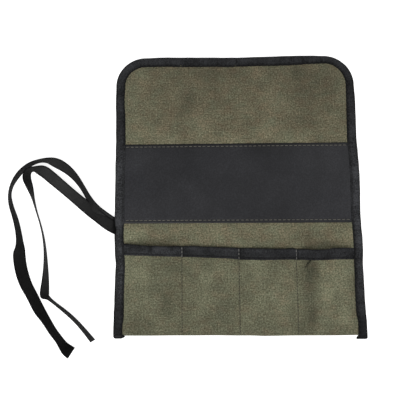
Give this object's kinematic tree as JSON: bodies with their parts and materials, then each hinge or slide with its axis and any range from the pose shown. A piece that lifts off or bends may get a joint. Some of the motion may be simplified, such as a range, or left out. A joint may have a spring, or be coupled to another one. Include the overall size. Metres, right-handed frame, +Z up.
{
  "type": "carving tool roll",
  "caption": "Flat-lying canvas tool roll with folded-up tool pockets, bound edges, a leatherette band across the middle, a fold-over flap and a pair of tie tapes at one side.",
  "frame": {"origin": "centre of the footprint of the open roll without its loose ties, on the surface that it lies on", "axes": "+Z up out of the surface, +Y from the pockets towards the flap, +X to the right with the ties on the left (-X)"},
  "size_m": [0.3915, 0.3336, 0.0104],
  "materials": {
    "canvas": "heathered olive cotton canvas, matt",
    "leatherette": "black fine-grained leatherette, semi-matt",
    "binding_tape": "black woven binding tape, matt",
    "tie_tape": "black woven tape, slight sheen",
    "grey_thread": "light grey sewing thread",
    "dark_thread": "black sewing thread"
  },
  "bodies": {
    "panel_1": {"panel_1_back_canvas": "canvas", "panel_1_pocket_front": "canvas", "panel_1_mouth_binding": "binding_tape", "panel_1_leather_band": "leatherette", "panel_1_band_stitches": "grey_thread", "panel_1_mouth_stitches": "dark_thread", "panel_1_bottom_stitches": "dark_thread", "divider_seam_1": "grey_thread", "side_binding_left": "binding_tape", "side_binding_left_stitches": "dark_thread", "tie_tape_sewn_middle": "tie_tape", "tie_tape_upper": "tie_tape", "tie_tape_lower": "tie_tape"},
    "panel_2": {"panel_2_back_canvas": "canvas", "panel_2_pocket_front": "canvas", "panel_2_mouth_binding": "binding_tape", "panel_2_leather_band": "leatherette", "panel_2_band_stitches": "grey_thread", "panel_2_mouth_stitches": "dark_thread", "panel_2_bottom_stitches": "dark_thread", "divider_seam_2": "grey_thread"},
    "panel_3": {"panel_3_back_canvas": "canvas", "panel_3_pocket_front": "canvas", "panel_3_mouth_binding": "binding_tape", "panel_3_leather_band": "leatherette", "panel_3_band_stitches": "grey_thread", "panel_3_mouth_stitches": "dark_thread", "panel_3_bottom_stitches": "dark_thread", "divider_seam_3": "grey_thread"},
    "panel_4": {"panel_4_back_canvas": "canvas", "panel_4_pocket_front": "canvas", "panel_4_mouth_binding": "binding_tape", "panel_4_leather_band": "leatherette", "panel_4_band_stitches": "grey_thread", "panel_4_mouth_stitches": "dark_thread", "panel_4_bottom_stitches": "dark_thread", "side_binding_right": "binding_tape", "side_binding_right_stitches": "dark_thread"},
    "flap_1": {"flap_1_canvas": "canvas", "flap_1_edge_binding": "binding_tape", "flap_1_binding_stitches": "dark_thread"},
    "flap_2": {"flap_2_canvas": "canvas", "flap_2_edge_binding": "binding_tape", "flap_2_binding_stitches": "dark_thread"},
    "flap_3": {"flap_3_canvas": "canvas", "flap_3_edge_binding": "binding_tape", "flap_3_binding_stitches": "dark_thread"},
    "flap_4": {"flap_4_canvas": "canvas", "flap_4_edge_binding": "binding_tape", "flap_4_binding_stitches": "dark_thread"}
  },
  "joints": [
    {"name": "roll_1", "type": "hinge", "parent": "panel_1", "child": "panel_2", "pos_m": [-0.0595, 0, 0.00135], "axis": [0, -1, 0], "range_deg": [0, 85]},
    {"name": "roll_2", "type": "hinge", "parent": "panel_2", "child": "panel_3", "pos_m": [0.0025, 0, 0.00135], "axis": [0, -1, 0], "range_deg": [0, 85]},
    {"name": "roll_3", "type": "hinge", "parent": "panel_3", "child": "panel_4", "pos_m": [0.065, 0, 0.00135], "axis": [0, -1, 0], "range_deg": [0, 85]},
    {"name": "flap_fold_1", "type": "hinge", "parent": "panel_1", "child": "flap_1", "pos_m": [-0.09725, 0.0605, 0.0022], "axis": [1, 0, 0], "range_deg": [0, 179.9]},
    {"name": "flap_fold_2", "type": "hinge", "parent": "panel_2", "child": "flap_2", "pos_m": [-0.0285, 0.0605, 0.0022], "axis": [1, 0, 0], "range_deg": [0, 179.9]},
    {"name": "flap_fold_3", "type": "hinge", "parent": "panel_3", "child": "flap_3", "pos_m": [0.03375, 0.0605, 0.0022], "axis": [1, 0, 0], "range_deg": [0, 179.9]},
    {"name": "flap_fold_4", "type": "hinge", "parent": "panel_4", "child": "flap_4", "pos_m": [0.1, 0.0605, 0.0022], "axis": [1, 0, 0], "range_deg": [0, 179.9]}
  ],
  "couplings": [
    {"joint": "roll_2", "follows": "roll_1", "ratio": 1},
    {"joint": "roll_3", "follows": "roll_1", "ratio": 1},
    {"joint": "flap_fold_2", "follows": "flap_fold_1", "ratio": 1},
    {"joint": "flap_fold_3", "follows": "flap_fold_1", "ratio": 1},
    {"joint": "flap_fold_4", "follows": "flap_fold_1", "ratio": 1}
  ]
}
